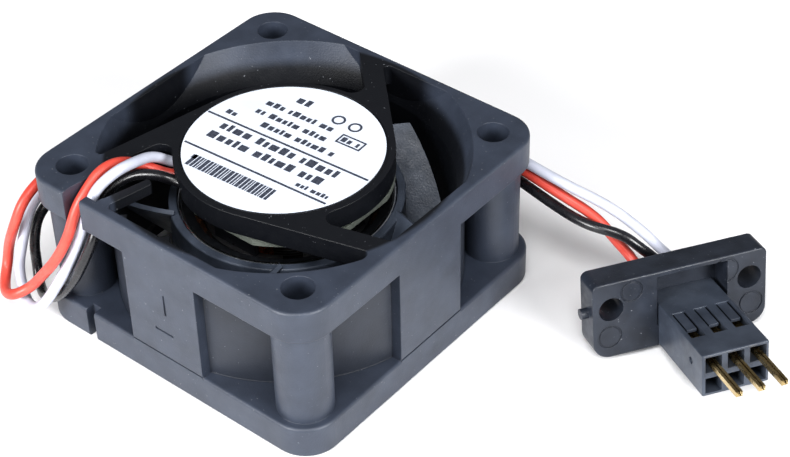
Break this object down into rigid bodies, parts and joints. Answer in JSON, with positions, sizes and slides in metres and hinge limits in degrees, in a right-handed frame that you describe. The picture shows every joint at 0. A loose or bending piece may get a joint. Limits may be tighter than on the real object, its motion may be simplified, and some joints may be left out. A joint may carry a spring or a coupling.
{
  "type": "axial fan",
  "caption": "Square axial cooling fan with a slim strutted frame, a blade ring on a cup hub, three flexible leads and a flanged rectangular plug with folded contact pins.",
  "frame": {"origin": "bottom centre of the square fan frame, on the face away from the label", "axes": "+Z along the impeller axis towards the labelled strut side; X and Y parallel to the frame's sides; the leads leave at the -X -Y corner"},
  "size_m": [0.0804, 0.0545, 0.0218],
  "materials": {
    "frame_plastic": "satin black moulded",
    "rotor_plastic": "fine grained black",
    "label_paper": "matt white with plain rules",
    "brass_tube": "turned",
    "board": "solder mask",
    "chip_black": "moulded",
    "ceramic": "fired",
    "solder": "bright",
    "core_steel": "stamped sheets",
    "bobbin_plastic": "natural nylon",
    "copper": "enamelled wire",
    "steel": "drawn",
    "bearing_steel": "ground",
    "magnet": "bonded ferrite",
    "spring_steel": "drawn wire",
    "cage_plastic": "moulded nylon",
    "plug_plastic": "satin black moulded",
    "gold_contact": "gold plated",
    "red_insulation": "soft gloss",
    "white_insulation": "soft gloss",
    "black_insulation": "soft gloss"
  },
  "bodies": {
    "base": {"frame": "frame_plastic", "label": "label_paper", "bearing_tube": "brass_tube", "circuit_board": "board", "driver_chip": "chip_black", "hall_sensor": "chip_black", "board_components": "ceramic", "solder_joints": "solder", "stator_core": "core_steel", "bobbin_lower": "bobbin_plastic", "bobbin_upper": "bobbin_plastic", "winding_pins": "solder", "stator_windings": "copper", "plug_plate": "plug_plastic", "plug_housing": "plug_plastic", "pin_red": "gold_contact", "pin_black": "gold_contact", "pin_white": "gold_contact", "lead_red": "red_insulation", "lead_white": "white_insulation", "lead_black": "black_insulation", "lower_bearing_outer_ring": "bearing_steel", "lower_bearing_shields": "steel", "upper_bearing_outer_ring": "bearing_steel", "upper_bearing_shields": "steel"},
    "rotor": {"impeller": "rotor_plastic", "rotor_yoke": "steel", "magnet_ring": "magnet", "shaft_bush": "brass_tube", "shaft": "steel", "preload_spring": "spring_steel", "clip_washer": "steel", "retaining_clip": "spring_steel", "lower_bearing_inner_ring": "bearing_steel", "upper_bearing_inner_ring": "bearing_steel"},
    "lower_ball_set": {"lower_bearing_balls": "bearing_steel", "lower_bearing_cage": "cage_plastic"},
    "upper_ball_set": {"upper_bearing_balls": "bearing_steel", "upper_bearing_cage": "cage_plastic"}
  },
  "joints": [
    {"name": "impeller_spin", "type": "hinge", "parent": "base", "child": "rotor", "pos_m": [0, 0, 0.008], "axis": [0, 0, 1], "continuous": true},
    {"name": "lower_ball_set_spin", "type": "hinge", "parent": "base", "child": "lower_ball_set", "pos_m": [0, 0, 0.00575], "axis": [0, 0, 1], "continuous": true},
    {"name": "upper_ball_set_spin", "type": "hinge", "parent": "base", "child": "upper_ball_set", "pos_m": [0, 0, 0.01555], "axis": [0, 0, 1], "continuous": true}
  ],
  "couplings": [
    {"joint": "lower_ball_set_spin", "follows": "impeller_spin", "ratio": 0.375},
    {"joint": "upper_ball_set_spin", "follows": "impeller_spin", "ratio": 0.375}
  ]
}
